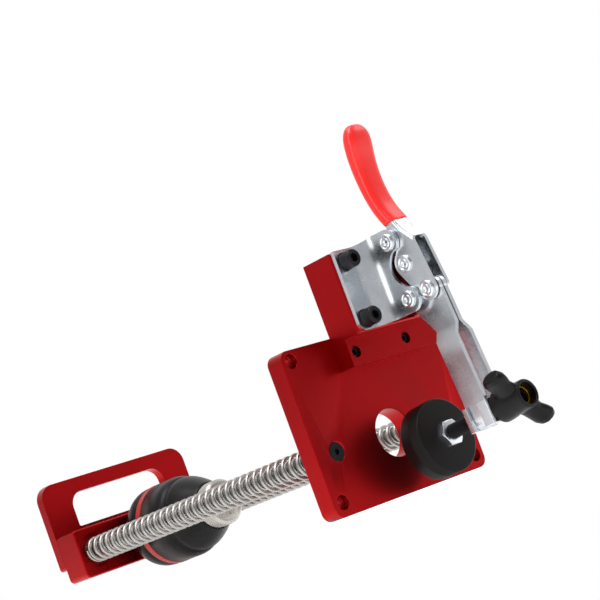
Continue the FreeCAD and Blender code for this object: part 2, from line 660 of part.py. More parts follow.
def channel_outline():
    """The handle channel's side, from its arm eye up to the tongue inside the grip."""
    eye = PIVOT_HANDLE_ARM
    lobe = PIVOT_LINK_HANDLE
    link = PIVOT_BASE_LINK
    return [on_circle(lobe, HANDLE_LOBE_R, -30),
            (on_circle(lobe, HANDLE_LOBE_R, 10), on_circle(lobe, HANDLE_LOBE_R, 55)),
            on_circle(link, HANDLE_TOP_LOBE_R, 230),
            (on_circle(link, HANDLE_TOP_LOBE_R, 170), on_circle(link, HANDLE_TOP_LOBE_R, 110)),
            (-41.9, 98.8), (-48.3, 100.5), (-50.9, 95.0), (-56.1, 89.0), (-59.5, 62.0),
            (on_circle(eye, HANDLE_EYE_R, 215), on_circle(eye, HANDLE_EYE_R, -30))]


def handle_channel():
    channel = slab_x(channel_outline(), CLAMP_X - WALL_OUT, CLAMP_X + WALL_OUT)
    bent = [e for e in channel.Edges if e.BoundBox.XLength < 0.01 and e.BoundBox.YMax < WEB_EDGE_Y
            and e.BoundBox.ZMin > WEB_EDGE_Z]
    channel = channel.makeFillet(WEB_BEND_R, bent)
    # the hollow leaves the side walls and the outer web
    hollow = slab_x([(-30, 40), (-30, 110), (-43.5, 110), (-46.5, 100.2), (-49.2, 93.9), (-54.2, 88.1),
                     (-57.4, 62.0), (-57.4, 40)], CLAMP_X - WALL_IN, CLAMP_X + WALL_IN)
    channel = channel.cut(hollow)
    # the web is slotted from its lower end, so that the arm's head can swing out through it
    slot = rounded_plate((CLAMP_X - WALL_IN, CLAMP_X + WALL_IN), (WEB_SLOT_LOW, WEB_SLOT_HIGH),
                         WEB_EDGE, WEB_SLOT_R, 0.5)
    channel = channel.cut(slot)
    tongue = slab_x([(-42.5, 99.0), ((-38.4, 109.0), (-36.0, 121.0)), (-35.6, 134.0), (-37.5, 148.0),
                     (-41.5, 148.0), (-39.8, 134.0), (-40.2, 122.0), ((-42.6, 110.0), (-47.2, 100.0))],
                    CLAMP_X - TONGUE_HALF_WIDTH, CLAMP_X + TONGUE_HALF_WIDTH)
    channel = channel.fuse(tongue).removeSplitter()
    for pivot in (PIVOT_LINK_HANDLE, PIVOT_HANDLE_ARM):
        channel = channel.cut(rod_x(pivot, PIN_HOLE_R, 0, 20))
    return channel


def handle_grip(channel):
    """Dipped grip: a flat S-curved bar that swells to a round end."""
    side = slab_x([(-49.2, 100.6), ((-44.4, 109.5), (-42.4, 121.0)), ((-41.6, 133.0), (-45.0, 147.0)),
                   ((-45.2, 152.6), (-40.6, 156.6)), ((-35.8, 152.5), (-34.2, 146.0)),
                   ((-32.6, 133.0), (-33.6, 121.0)), ((-36.4, 108.0), (-41.2, 98.4))],
                  CLAMP_X - GRIP_END_HALF_WIDTH, CLAMP_X + GRIP_END_HALF_WIDTH)
    left = CLAMP_X - GRIP_HALF_WIDTH
    right = CLAMP_X + GRIP_HALF_WIDTH
    wide = GRIP_END_HALF_WIDTH
    front = slab_y([(left, 97.0), (right, 97.0), (right, 120.0), (right - 0.3, 132.0),
                    ((CLAMP_X + wide, 146.0), (CLAMP_X + wide * 0.75, 153.5)),
                    ((CLAMP_X, 157.4), (CLAMP_X - wide * 0.75, 153.5)),
                    ((CLAMP_X - wide, 146.0), (left + 0.3, 132.0)), (left, 120.0)], -60, -25)
    grip = side.common(front)
    return max(grip.cut(channel).Solids, key=lambda solid: solid.Volume)


# ---------------------------------------------------------------- spindle, pad and wing knob
def saddle(direction, lip):
    """A flanged washer that hugs one edge of the strap; direction is -1 in front, 1 behind."""
    edge = direction * STRAP_HALF
    outer = edge + direction * SADDLE_THICK
    inner = edge - direction * lip
    h = SADDLE_HALF_LENGTH
    plate = box((-SADDLE_HALF_WIDTH, SADDLE_HALF_WIDTH), sorted((edge, outer)), (-h, h))
    lip_in = BAR_LOWER_IN + BAR_THICK + 0.2
    for side in (-1, 1):
        span = sorted((side * lip_in, side * SADDLE_HALF_WIDTH))
        plate = plate.fuse(box(span, sorted((inner, outer)), (-h, h)))
    plate = plate.removeSplitter()
    long_edges = [e for e in plate.Edges if abs(e.BoundBox.YMin - outer) < 0.01
                  and abs(e.BoundBox.YMax - outer) < 0.01 and e.BoundBox.ZLength > h]
    plate = plate.makeFillet(1.2, long_edges)
    plate.translate(Vector(0, direction * 0.05, 0))
    return leaning(plate.cut(rod_y(0, 0, SPINDLE_R + 0.08, -20, 20)))


def spindle():
    rod = rod_y(0, 0, SPINDLE_R, KNOB_FRONT + 7, PAD_FACE + 4)
    rim = [e for e in rod.Edges if e.Length > 20 and abs(e.BoundBox.YMax - KNOB_FRONT - 7) < 0.01]
    return leaning(rod.makeChamfer(0.8, rim))


def pad_nut():
    front = PAD_FACE - PAD_NUT_THICK
    nut = hexagon_y(0, 0, NUT_FLATS, front, PAD_FACE)
    corner_r = NUT_FLATS / math.sqrt(3)
    chamfered = turned_y([(front, 0), (front, NUT_FLATS * 0.47), (front + 0.9, corner_r + 0.2),
                          (PAD_FACE, corner_r + 0.2), (PAD_FACE, 0)])
    return leaning(nut.common(chamfered).cut(rod_y(0, 0, SPINDLE_R, 0, 40)))


def pad():
    body = rod_y(0, 0, PAD_R, PAD_FACE, PAD_FACE + PAD_THICK)
    rims = [e for e in body.Edges if e.Length > 100 and e.BoundBox.YLength < 0.01]
    body = body.makeFillet(1.0, rims)
    return leaning(body.cut(rod_y(0, 0, SPINDLE_R, PAD_FACE - 1, PAD_FACE + 4)))


def knob_insert():
    return leaning(tube_y(0, 0, KNOB_BORE_R, SPINDLE_R + 0.06, KNOB_FRONT + 4, KNOB_BACK))


def wing_knob():
    knob = rod_y(0, 0, KNOB_HUB_R, KNOB_FRONT, KNOB_BACK)
    knob = knob.fuse(Part.makeCone(KNOB_HUB_R, KNOB_SKIRT_R, 9, Vector(0, KNOB_BACK - 9, 0), AXIS_Y))
    for side in (-1, 1):
        wing = slab_x([(KNOB_BACK - 3, 0), (KNOB_BACK - 6.0, KNOB_TIP - 4), (KNOB_FRONT + 3.0, KNOB_TIP),
                       (KNOB_FRONT + 2.5, 0)], -WING_HALF_THICK, WING_HALF_THICK)
        tip = Part.makeCylinder(KNOB_TIP_R, 8.4, Vector(0, KNOB_FRONT + 3.6, KNOB_TIP - 1.6),
                                Vector(0, 0.94, -0.34))
        both = wing.fuse(tip)
        if side < 0:
            both.rotate(Vector(0, 0, 0), AXIS_Y, 180)
        knob = knob.fuse(both)
    knob = knob.cut(rod_y(0, 0, KNOB_BORE_R, KNOB_FRONT - 1, 0)).removeSplitter()
    knob.rotate(Vector(0, 0, 0), AXIS_Y, -45)
    return leaning(knob)


# ---------------------------------------------------------------- export
def build():
    channel = handle_channel()
    nodes = {
        "base_plate": base_plate(),
        "guide_column_left": guide_column(-1),
        "guide_column_right": guide_column(1),
        "column_foot_screws": column_foot_screws(),
        "column_end_washers": end_washers(),
        "column_end_screws": end_screws(),
        "return_spring_left": return_spring(-1),
        "return_spring_right": return_spring(1),
        "carriage_bar": carriage_bar(),
        "handle_plate": handle_plate(),
        "handle_plate_screws": handle_plate_screws(),
        "column_bush_left": column_bush(-1),
        "column_bush_right": column_bush(1),
        "spindle_bearing_front": spindle_bearing(bearing_seats()[0]),
        "spindle_bearing_rear": spindle_bearing(bearing_seats()[1]),
        "drive_shank": drive_shank(),
        "retaining_ring": retaining_ring(),
        "chuck_core": chuck_core(),
        "chuck_rear_sleeve": chuck_rear_sleeve(),
        "chuck_ring": chuck_ring(),
        "chuck_front_sleeve": chuck_front_sleeve(),
        "chuck_nut": chuck_nut(),
        "clamp_bracket": clamp_bracket(),
        "stop_screws": stop_screws(),
        "clamp_side_left": clamp_side(),
        "clamp_side_right": mirrored(clamp_side()),
        "flange_screws": flange_screws(),
        "flange_washers": flange_washers(),
        "link_pin": rivet(PIVOT_BASE_LINK, CHEEK_OUT),
        "arm_pin": rivet(PIVOT_BASE_ARM, CHEEK_OUT),
        "link_pin_sleeves": pivot_sleeves(PIVOT_BASE_LINK, LINK_HALF + 0.1),
        "arm_pin_sleeves": pivot_sleeves(PIVOT_BASE_ARM, BAR_UPPER_IN + BAR_THICK + 0.1),
        "clamp_link": clamp_link(),
        "clamp_arm": clamp_arm(),
        "handle_channel": channel,
        "handle_grip": handle_grip(channel),
        "handle_arm_pin": rivet(PIVOT_HANDLE_ARM, WALL_OUT),
        "handle_link_rivets": split_rivet(PIVOT_LINK_HANDLE),
        "saddle_front": saddle(-1, SADDLE_FRONT_LIP),
        "saddle_rear": saddle(1, SADDLE_REAR_LIP),
        "spindle": spindle(),
        "pad_nut": pad_nut(),
        "pad": pad(),
        "wing_knob": wing_knob(),
        "knob_insert": knob_insert(),
    }
    for index in range(3):
        nodes["chuck_jaw_%d" % (index + 1)] = chuck_jaw(index)
    return nodes


os.makedirs("parts", exist_ok=True)
for name, shape in build().items():
    shape.exportStep("parts/%s.step" % name)
    bounds = shape.BoundBox
    print("%-22s valid %s solids %d volume %9.1f  x %6.1f..%6.1f y %6.1f..%6.1f z %6.1f..%6.1f" % (
        name, shape.isValid(), len(shape.Solids), shape.Volume, bounds.XMin, bounds.XMax,
        bounds.YMin, bounds.YMax, bounds.ZMin, bounds.ZMax))
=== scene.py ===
import math
import bmesh
import bpy
from mathutils import Matrix, Vector


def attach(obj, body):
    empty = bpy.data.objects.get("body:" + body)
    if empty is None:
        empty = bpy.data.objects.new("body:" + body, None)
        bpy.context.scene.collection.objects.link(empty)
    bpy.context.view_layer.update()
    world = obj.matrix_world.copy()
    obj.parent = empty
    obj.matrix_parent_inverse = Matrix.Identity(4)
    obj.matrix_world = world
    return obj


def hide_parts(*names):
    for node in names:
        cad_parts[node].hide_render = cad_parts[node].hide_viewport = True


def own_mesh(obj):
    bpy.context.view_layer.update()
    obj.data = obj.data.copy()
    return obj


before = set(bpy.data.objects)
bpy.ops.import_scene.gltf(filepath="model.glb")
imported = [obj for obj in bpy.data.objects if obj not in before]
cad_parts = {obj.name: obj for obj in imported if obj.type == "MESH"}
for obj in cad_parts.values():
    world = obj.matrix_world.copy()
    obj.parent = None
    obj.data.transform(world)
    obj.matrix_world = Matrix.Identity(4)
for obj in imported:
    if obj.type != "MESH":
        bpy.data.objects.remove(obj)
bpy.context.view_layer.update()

# Clamp-on drilling jig: a red base plate with a toggle clamp in front, and a sprung carriage
# with a keyless chuck behind. Metres throughout; sizes are written in millimetres times MM.

# --------------------------------------------------------------------- base plate
# The plate that the work lies against: milled aluminium, bead-blasted and anodised red, with
# its corners rounded and its edges broken. Everything else is screwed to it.
MM = 0.001
RED_DYE = "9c0d11"
RED_DYE_THIN = "aa1216"


def linear(colour):
    """An sRGB hex colour as linear values."""
    parts = [int(colour[i:i + 2], 16) / 255 for i in (0, 2, 4)]
    return tuple(c / 12.92 if c <= 0.04045 else ((c + 0.055) / 1.055) ** 2.4 for c in parts) + (1.0,)


def add(tree, kind, settings, links=None):
    """Adds one shader node, with its settings and the links into it."""
    made = tree.nodes.new("ShaderNode" + kind)
    for name, value in settings.items():
        if isinstance(name, int) or name in made.inputs:
            made.inputs[name].default_value = value
        else:
            setattr(made, name, value)
    for name, source in (links or {}).items():
        tree.links.new(source, made.inputs[name])
    return made


def blank_finish(name):
    """An empty material and its node tree."""
    made = bpy.data.materials.new(name)
    made.use_nodes = True
    made.node_tree.nodes.clear()
    return made, made.node_tree


# Anodised aluminium, bead-blasted: a clear dyed oxide over metal. The eye sees a deep red that
# brightens where it mirrors a light, with a soft even blur and a very fine tooth.
red_anodised, tree = blank_finish("anodised aluminium, blasted, red")
place = add(tree, "TexCoord", {})
# the blast pits are about 0.05 mm; they are drawn at 0.35 mm so that they show
pits = add(tree, "TexNoise", {"Scale": 1 / (0.35 * MM), "Detail": 2.0}, {"Vector": place.outputs["Object"]})
dye = add(tree, "TexNoise", {"Scale": 1 / (30 * MM), "Detail": 3.0}, {"Vector": place.outputs["Object"]})
tint = add(tree, "Mix", {"data_type": "RGBA", 6: linear(RED_DYE), 7: linear(RED_DYE_THIN)},
           {0: dye.outputs["Fac"]})
blur = add(tree, "MapRange", {"To Min": 0.28, "To Max": 0.38}, {"Value": pits.outputs["Fac"]})
tooth = add(tree, "Bump", {"Strength": 0.12, "Distance": 0.02 * MM}, {"Height": pits.outputs["Fac"]})
skin = add(tree, "BsdfPrincipled", {"Metallic": 0.96},
           {"Base Color": tint.outputs[2], "Roughness": blur.outputs["Result"],
            "Normal": tooth.outputs["Normal"]})
add(tree, "OutputMaterial", {}, {"Surface": skin.outputs["BSDF"]})


def finished(name, bm, finish, body, nodes=(), corner=32):
    """Turns a bmesh into a piece that rides on a body and stands for its CAD nodes."""
    mesh = bpy.data.meshes.new(name)
    bm.to_mesh(mesh)
    bm.free()
    mesh.materials.append(finish)
    mesh.shade_smooth()
    mesh.set_sharp_from_angle(angle=math.radians(corner))
    made = bpy.data.objects.new(name, mesh)
    bpy.context.scene.collection.objects.link(made)
    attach(made, body)
    if nodes:
        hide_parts(*nodes)
    return made


def edged_copy(node, finish, body, edge, rounds=2):
    """A CAD node again with its sharp edges broken by edge millimetres."""
    bm = bmesh.new()
    bm.from_mesh(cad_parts[node].data)
    bmesh.ops.remove_doubles(bm, verts=bm.verts, dist=1e-6)
    bmesh.ops.dissolve_limit(bm, angle_limit=math.radians(0.5), verts=bm.verts, edges=bm.edges)
    made = finished(node.replace("_", "-"), bm, finish, body, [node])
    broken = made.modifiers.new("broken edge", "BEVEL")
    broken.width = edge * MM
    broken.segments = rounds
    broken.limit_method = "ANGLE"
    broken.angle_limit = math.radians(35)
    broken.harden_normals = True
    return made


edged_copy("base_plate", red_anodised, "base", 0.5)

# --------------------------------------------------------------------- clamp bracket
# An edge stop bar with a block on it, milled from one piece and anodised with the plate. The
# stop bar hangs over the working face and the block carries the toggle clamp.
edged_copy("clamp_bracket", red_anodised, "base", 0.6, 3)

# --------------------------------------------------------------------- carriage bar and handle plate
# A thick bar that runs on the two columns, and a D-shaped plate screwed on behind it for the
# hand. Both are milled and anodised as the base plate is.
edged_copy("carriage_bar", red_anodised, "carriage", 0.5)
edged_copy("handle_plate", red_anodised, "carriage", 0.9, 3)

# --------------------------------------------------------------------- guide columns
# Two hardened and ground steel rods, let into the base plate and held by a screw from the
# front. The carriage's bushes slide on them.
# Ground steel: bright, with fine rings round the rod that streak the reflections.
ground_steel, tree = blank_finish("ground steel, bright")
place = add(tree, "TexCoord", {})
rings = add(tree, "Mapping", {"Scale": (0.02, 1.0, 0.02)}, {"Vector": place.outputs["Object"]})
# grinding lines are finer than the view shows, so they are drawn 0.25 mm apart
lines = add(tree, "TexNoise", {"Scale": 1 / (0.25 * MM), "Detail": 1.0},
            {"Vector": rings.outputs["Vector"]})
blur = add(tree, "MapRange", {"To Min": 0.22, "To Max": 0.34}, {"Value": lines.outputs["Fac"]})
skin = add(tree, "BsdfPrincipled", {"Metallic": 1.0, "Base Color": linear("b4b3b1")},
           {"Roughness": blur.outputs["Result"]})
add(tree, "OutputMaterial", {}, {"Surface": skin.outputs["BSDF"]})
edged_copy("guide_column_left", ground_steel, "base", 0.4)
edged_copy("guide_column_right", ground_steel, "base", 0.4)

# --------------------------------------------------------------------- return springs
# A cold-wound compression spring round each column, with its end coils closed. It pushes the
# carriage back from the base plate.
COLUMN_X = 43.5 * MM
WIRE = 2.2 * MM
COIL_R = 6.6 * MM
COIL_FRONT = 11.0 * MM
COIL_BACK = 222.2 * MM
COIL_PITCH = 6.1 * MM
STEPS_A_TURN = 24
# Spring wire: drawn steel, cleaned bright. Long smooth highlights run along the wire.
spring_wire, tree = blank_finish("spring steel, drawn bright")
place = add(tree, "TexCoord", {})
drawn = add(tree, "TexNoise", {"Scale": 1 / (1.2 * MM), "Detail": 3.0}, {"Vector": place.outputs["Object"]})
blur = add(tree, "MapRange", {"To Min": 0.32, "To Max": 0.42}, {"Value": drawn.outputs["Fac"]})
skin = add(tree, "BsdfPrincipled", {"Metallic": 1.0, "Base Color": linear("aba8a4")},
           {"Roughness": blur.outputs["Result"]})
add(tree, "OutputMaterial", {}, {"Surface": skin.outputs["BSDF"]})


def coil_spring(side):
    """One spring: a ring of wire carried round the column, closed at both ends."""
    x = side * COLUMN_X
    closed_rise = WIRE * 1.03
    turns = (COIL_BACK - COIL_FRONT - WIRE - 2 * closed_rise) / COIL_PITCH
    bm = bmesh.new()
    bmesh.ops.create_circle(bm, cap_ends=True, radius=WIRE / 2, segments=10)
    bmesh.ops.translate(bm, verts=bm.verts, vec=(x + COIL_R, COIL_FRONT + WIRE / 2, 0))
    ring = bm.verts[:] + bm.edges[:]
    for count, rise in ((1.0, closed_rise), (turns, COIL_PITCH), (1.0, closed_rise)):
        steps = round(count * STEPS_A_TURN)
        drop = (0, rise * count / steps, 0)
        swept = bmesh.ops.spin(bm, geom=ring, cent=(x, 0, 0), axis=(0, 1, 0), dvec=drop,
                               angle=math.tau * count, steps=steps, use_merge=False)
        ring = [g for g in swept["geom_last"] if not isinstance(g, bmesh.types.BMFace)]
    bmesh.ops.holes_fill(bm, edges=[g for g in ring if isinstance(g, bmesh.types.BMEdge)], sides=0)
    bmesh.ops.recalc_face_normals(bm, faces=bm.faces)
    return bm


for side, word in ((-1, "left"), (1, "right")):
    spring = finished("return-spring-" + word, coil_spring(side), spring_wire, "base",
                      ["return_spring_" + word])
    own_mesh(spring)

# --------------------------------------------------------------------- bushes, bearings and retaining ring
# Sintered bronze bushes are pressed into the bar for the columns. Two sealed ball bearings
# carry the drive shank, and a spring steel ring keeps it from coming forward.
# Sintered bronze: pressed powder that holds oil, so it is a dull brown gold with a speckled grain.
bronze, tree = blank_finish("sintered bronze, oiled")
place = add(tree, "TexCoord", {})
# the grains are about 0.1 mm; they are drawn at 0.3 mm so that they show
grains = add(tree, "TexNoise", {"Scale": 1 / (0.3 * MM), "Detail": 2.0},
             {"Vector": place.outputs["Object"]})
tint = add(tree, "Mix", {"data_type": "RGBA", 6: linear("9a7447"), 7: linear("c09a63")},
           {0: grains.outputs["Fac"]})
skin = add(tree, "BsdfPrincipled", {"Metallic": 1.0, "Roughness": 0.42}, {"Base Color": tint.outputs[2]})
add(tree, "OutputMaterial", {}, {"Surface": skin.outputs["BSDF"]})
edged_copy("column_bush_left", bronze, "carriage", 0.2)
edged_copy("column_bush_right", bronze, "carriage", 0.2)
edged_copy("spindle_bearing_front", ground_steel, "carriage", 0.2)
edged_copy("spindle_bearing_rear", ground_steel, "carriage", 0.2)

# Black oxide steel: the chemical blackening of hardened screws, left slightly oily. It shows as
# a soft black with dull grey lights on the edges.
black_oxide, tree = blank_finish("steel, black oxide, oiled")
place = add(tree, "TexCoord", {})
bloom = add(tree, "TexNoise", {"Scale": 1 / (2.5 * MM), "Detail": 3.0}, {"Vector": place.outputs["Object"]})
blur = add(tree, "MapRange", {"To Min": 0.34, "To Max": 0.5}, {"Value": bloom.outputs["Fac"]})
skin = add(tree, "BsdfPrincipled", {"Metallic": 0.7, "Base Color": linear("1d1d20")},
           {"Roughness": blur.outputs["Result"]})
add(tree, "OutputMaterial", {}, {"Surface": skin.outputs["BSDF"]})
edged_copy("retaining_ring", black_oxide, "chuck", 0.1)

# --------------------------------------------------------------------- chuck body, jaws and drive shank
# The steel heart of the keyless chuck: a turned core with a bright nose, three ground jaws that
# slide in slanting bores, and a shank that ends in a hexagon for the drill.
# Turned steel: bright, with lathe lines in rings round the drill axis.
turned_steel, tree = blank_finish("steel, turned bright")
place = add(tree, "TexCoord", {})
across = add(tree, "Mapping", {"Scale": (0.03, 1.0, 0.03)}, {"Vector": place.outputs["Object"]})
# the feed lines are about 0.1 mm apart; they are drawn at 0.3 mm so that they show
feed = add(tree, "TexNoise", {"Scale": 1 / (0.3 * MM), "Detail": 2.0}, {"Vector": across.outputs["Vector"]})
ridge = add(tree, "Bump", {"Strength": 0.15, "Distance": 0.02 * MM}, {"Height": feed.outputs["Fac"]})
blur = add(tree, "MapRange", {"To Min": 0.22, "To Max": 0.34}, {"Value": feed.outputs["Fac"]})
skin = add(tree, "BsdfPrincipled", {"Metallic": 1.0, "Base Color": linear("b5b1aa")},
           {"Roughness": blur.outputs["Result"], "Normal": ridge.outputs["Normal"]})
add(tree, "OutputMaterial", {}, {"Surface": skin.outputs["BSDF"]})
edged_copy("chuck_core", turned_steel, "chuck", 0.3)
edged_copy("drive_shank", turned_steel, "chuck", 0.3)
edged_copy("chuck_nut", turned_steel, "chuck_sleeve", 0.2)
for number in ("1", "2", "3"):
    edged_copy("chuck_jaw_" + number, turned_steel, "jaw_" + number, 0.15)

# --------------------------------------------------------------------- chuck sleeves and ring
# The front sleeve turns by hand to close the jaws, the rear one is held still, and a thin red
# ring parts them. All three are moulded nylon, smooth with a soft shine.
FRONT_SLEEVE = [(199.2, 17.3), (199.2, 23.7), (198.8, 24.1), (184.6, 24.1), (183.0, 23.9), (181.2, 23.3),
                (180.2, 22.9), (179.5, 22.3), (178.8, 21.7), (177.9, 21.55), (177.1, 21.7), (176.4, 22.0),
                (175.3, 22.0), (173.6, 21.5), (171.0, 20.5), (168.0, 19.2), (165.0, 17.7), (162.2, 16.2),
                (159.6, 14.9), (158.4, 14.3), (158.0, 13.9), (158.2, 13.7), (160.0, 13.7), (162.0, 15.9),
                (178.3, 15.9), (178.3, 19.4), (188.0, 19.4), (188.0, 17.3)]
REAR_SLEEVE = [(217.0, 17.05), (217.0, 20.2), (216.7, 20.8), (216.0, 21.5), (214.9, 22.4), (213.4, 23.2),
               (211.3, 23.8), (208.5, 24.05), (204.3, 24.1), (203.8, 23.7), (203.8, 17.05)]
COLOUR_RING = [(203.8, 17.05), (203.8, 24.0), (203.6, 24.25), (199.7, 24.25), (199.5, 24.0), (199.5, 17.05)]


def turned(profile, around=96, closed=False):
    """A shape turned about the Y axis from (along, radius) points in mm."""
    bm = bmesh.new()
    points = [bm.verts.new((radius * MM, along * MM, 0)) for along, radius in profile]
    pairs = list(zip(points, points[1:])) + ([(points[-1], points[0])] if closed else [])
    edges = [bm.edges.new(pair) for pair in pairs]
    bmesh.ops.spin(bm, geom=points + edges, cent=(0, 0, 0), axis=(0, 1, 0), dvec=(0, 0, 0),
                   angle=math.tau, steps=around, use_merge=True)
    bmesh.ops.remove_doubles(bm, verts=bm.verts, dist=1e-6)
    bmesh.ops.recalc_face_normals(bm, faces=bm.faces)
    return bm


# Glass-filled nylon, moulded: near black, with the mould's fine spark texture.
black_nylon, tree = blank_finish("nylon, moulded, black")
place = add(tree, "TexCoord", {})
# the spark texture is about 0.1 mm; it is drawn at 0.4 mm so that it shows
spark = add(tree, "TexNoise", {"Scale": 1 / (0.4 * MM), "Detail": 2.0}, {"Vector": place.outputs["Object"]})
grain = add(tree, "Bump", {"Strength": 0.12, "Distance": 0.03 * MM}, {"Height": spark.outputs["Fac"]})
skin = add(tree, "BsdfPrincipled",
           {"Base Color": linear("0b0909"), "Roughness": 0.36, "Specular IOR Level": 0.2},
           {"Normal": grain.outputs["Normal"]})
add(tree, "OutputMaterial", {}, {"Surface": skin.outputs["BSDF"]})
# The ring is the same nylon dyed red all through, and shows as a flat warm red.
red_nylon, tree = blank_finish("nylon, moulded, red")
place = add(tree, "TexCoord", {})
spark = add(tree, "TexNoise", {"Scale": 1 / (0.4 * MM), "Detail": 2.0}, {"Vector": place.outputs["Object"]})
grain = add(tree, "Bump", {"Strength": 0.1, "Distance": 0.03 * MM}, {"Height": spark.outputs["Fac"]})
skin = add(tree, "BsdfPrincipled", {"Base Color": linear("a8251f"), "Roughness": 0.38, "IOR": 1.53},
           {"Normal": grain.outputs["Normal"]})
add(tree, "OutputMaterial", {}, {"Surface": skin.outputs["BSDF"]})
finished("chuck-front-sleeve", turned(FRONT_SLEEVE, closed=True), black_nylon, "chuck_sleeve",
         ["chuck_front_sleeve"], 50)
finished("chuck-rear-sleeve", turned(REAR_SLEEVE, closed=True), black_nylon, "chuck",
         ["chuck_rear_sleeve"], 50)
finished("chuck-ring", turned(COLOUR_RING, closed=True), red_nylon, "chuck",
         ["chuck_ring"], 50)

# --------------------------------------------------------------------- column screws and washers
# A countersunk screw holds each column from the front of the base plate. At the back a washer
# and a button-head screw stop the carriage from coming off the columns.
# Zinc-plated steel: pale and slightly blue, bright but not a mirror, as rolled sheet is under it.
zinc_steel, tree = blank_finish("steel, bright zinc plate")
place = add(tree, "TexCoord", {})
cloud = add(tree, "TexNoise", {"Scale": 1 / (9 * MM), "Detail": 4.0}, {"Vector": place.outputs["Object"]})
# the plate's grain is drawn 0.5 mm wide, a little coarser than it is
grit = add(tree, "TexNoise", {"Scale": 1 / (0.5 * MM), "Detail": 2.0}, {"Vector": place.outputs["Object"]})
tint = add(tree, "Mix", {"data_type": "RGBA", 6: linear("c6cbd0"), 7: linear("dde1e4")},
           {0: cloud.outputs["Fac"]})
blur = add(tree, "MapRange", {"To Min": 0.2, "To Max": 0.33}, {"Value": cloud.outputs["Fac"]})
# pressing leaves the sheet slightly wavy, which bends its highlights
wave = add(tree, "TexNoise", {"Scale": 1 / (14 * MM), "Detail": 0.0}, {"Vector": place.outputs["Object"]})
dents = add(tree, "Bump", {"Strength": 0.3, "Distance": 0.5 * MM}, {"Height": wave.outputs["Fac"]})
grain = add(tree, "Bump", {"Strength": 0.03, "Distance": 0.02 * MM},
            {"Height": grit.outputs["Fac"], "Normal": dents.outputs["Normal"]})
skin = add(tree, "BsdfPrincipled", {"Metallic": 1.0},
           {"Base Color": tint.outputs[2], "Roughness": blur.outputs["Result"],
            "Normal": grain.outputs["Normal"]})
add(tree, "OutputMaterial", {}, {"Surface": skin.outputs["BSDF"]})
edged_copy("column_foot_screws", black_oxide, "base", 0.2)
edged_copy("column_end_screws", black_oxide, "base", 0.3, 3)
edged_copy("column_end_washers", zinc_steel, "base", 0.3)
edged_copy("handle_plate_screws", black_oxide, "carriage", 0.2)

# --------------------------------------------------------------------- stop and flange screws
# Socket-head cap screws, blackened. Two small ones are sunk in the stop bar, and four with
# knurled heads hold the clamp's flanges to the block through plain washers.
CLAMP_X = 9.0
FLANGE_SCREWS = [(CLAMP_X + dx, z) for dx in (-23.7, 23.7) for z in (58.5, 89.5)]
SEAT = -24.3
HEAD_R = 4.7
HEAD_TALL = 7.0
KNURLS = 60
KNURL_DEPTH = 0.26


def ringed(rings, around=KNURLS):
    """A skin through rings along Y; each is (along, a function from angle to radius), in mm."""
    bm = bmesh.new()
    bmesh.ops.create_circle(bm, cap_ends=False, radius=1.0, segments=around)
    verts = bm.verts[:]
    edges = bm.edges[:]
    angles = [math.atan2(v.co.y, v.co.x) for v in verts]
    for number, (along, shape) in enumerate(rings):
        if number:
            grown = bmesh.ops.extrude_edge_only(bm, edges=edges)["geom"]
            verts = [g for g in grown if isinstance(g, bmesh.types.BMVert)]
            edges = [g for g in grown if isinstance(g, bmesh.types.BMEdge)]
            angles = [math.atan2(v.co.z, v.co.x) for v in verts]
        for v, angle in zip(verts, angles):
            radius = shape(angle) * MM
            v.co = (radius * math.cos(angle), along * MM, radius * math.sin(angle))
    bmesh.ops.holes_fill(bm, edges=bm.edges, sides=0)
    bmesh.ops.recalc_face_normals(bm, faces=bm.faces)
    return bm


def round_ring(radius):
    """A plain round ring."""
    return lambda angle: radius


def hexagon_ring(flats):
    """A six-sided ring, flats millimetres across."""
    return lambda angle: flats / 2 / math.cos((angle + math.tau / 12) % (math.tau / 6) - math.tau / 12)


def knurled_ring(radius, groove):
    """A ring with every second point cut in by groove."""
    return lambda angle: radius - groove * (round(angle * KNURLS / math.tau) % 2)


def joined(pieces):
    """Several bmeshes as one."""
    whole = bmesh.new()
    for bm in pieces:
        part = bpy.data.meshes.new("part")
        bm.to_mesh(part)
        bm.free()
        whole.from_mesh(part)
        bpy.data.meshes.remove(part)
    return whole


def moved(bm, matrix):
    """A bmesh after a move or turn."""
    bmesh.ops.transform(bm, matrix=matrix, verts=bm.verts)
    return bm


def at(x, y, z):
    """A move to a place in millimetres."""
    return Matrix.Translation((x * MM, y * MM, z * MM))


# from the shank's tip in the block, out over the knurled head and down into its socket
CAP_SCREW = [(-6.0, round_ring(2.1)), (-6.6, round_ring(2.5)), (SEAT, round_ring(2.5)),
             (SEAT, round_ring(4.4)), (SEAT - 0.25, knurled_ring(HEAD_R, 0.0)),
             (SEAT - 0.5, knurled_ring(HEAD_R, KNURL_DEPTH)),
             (SEAT - 6.1, knurled_ring(HEAD_R, KNURL_DEPTH)), (SEAT - 6.4, knurled_ring(4.65, 0.0)),
             (SEAT - HEAD_TALL, round_ring(4.15)), (SEAT - HEAD_TALL, round_ring(3.0)),
             (SEAT - 6.7, hexagon_ring(4.6)), (SEAT - 3.4, hexagon_ring(4.5)),
             (SEAT - 2.8, round_ring(0.6))]
screws = joined([moved(ringed(CAP_SCREW), at(x, 0, z)) for x, z in FLANGE_SCREWS])
finished("flange-screws", screws, black_oxide, "base", ["flange_screws"])
edged_copy("flange_washers", black_oxide, "base", 0.2)
edged_copy("stop_screws", black_oxide, "base", 0.15)

# --------------------------------------------------------------------- clamp sides
# The clamp's base is two pressed steel halves, each a flange with four rounded corners that
# bends forward into a cheek. The cheeks hold the fixed ends of the arm and the link.
edged_copy("clamp_side_left", zinc_steel, "base", 0.75, 3)
edged_copy("clamp_side_right", zinc_steel, "base", 0.75, 3)

